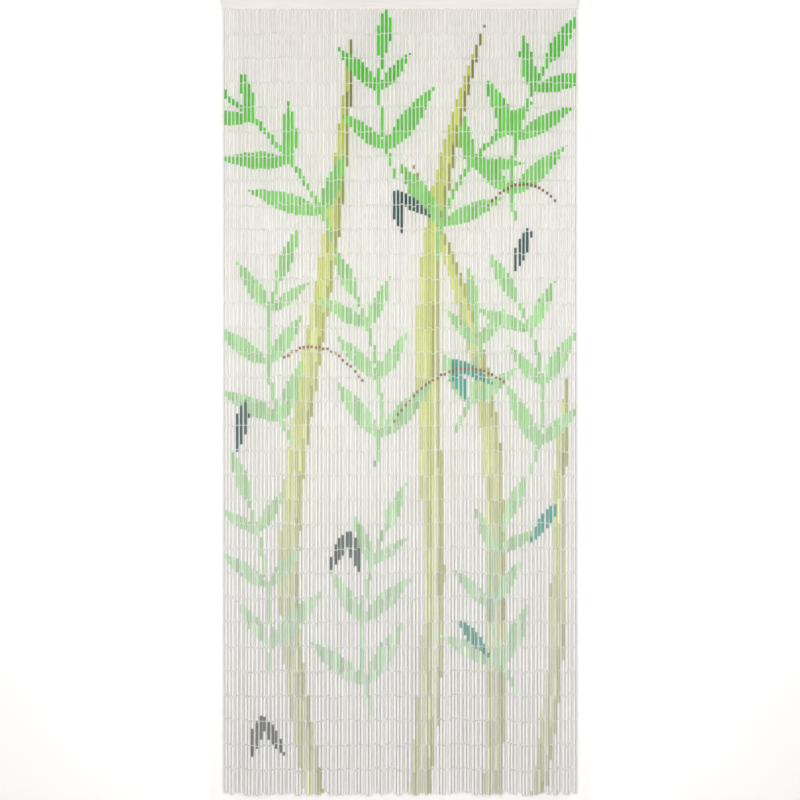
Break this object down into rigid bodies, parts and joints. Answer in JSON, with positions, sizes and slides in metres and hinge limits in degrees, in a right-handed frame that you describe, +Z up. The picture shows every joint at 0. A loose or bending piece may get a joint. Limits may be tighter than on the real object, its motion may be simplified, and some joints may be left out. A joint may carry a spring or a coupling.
{
  "type": "bamboo bead door curtain on its header slat",
  "caption": "Door curtain of thin bamboo tube beads linked by wire into hanging strands below a painted wooden header slat, with a leafy design painted across the strands.",
  "frame": {"origin": "middle of the header slat's flat back face, the face that goes against a wall or door frame", "axes": "+Z up, with the strands hanging along -Z; +X to the right seen from the front; -Y the way the front of the curtain faces"},
  "size_m": [0.9, 0.014, 2.0134],
  "materials": {
    "slat_paint": "satin off-white paint over wood",
    "bead_paint": "satin off-white paint over bamboo, with green leaves painted on",
    "link_wire": "dull galvanised wire"
  },
  "bodies": {
    "root": {"header_slat": "slat_paint", "bead_strands": "bead_paint"}
  },
  "joints": []
}
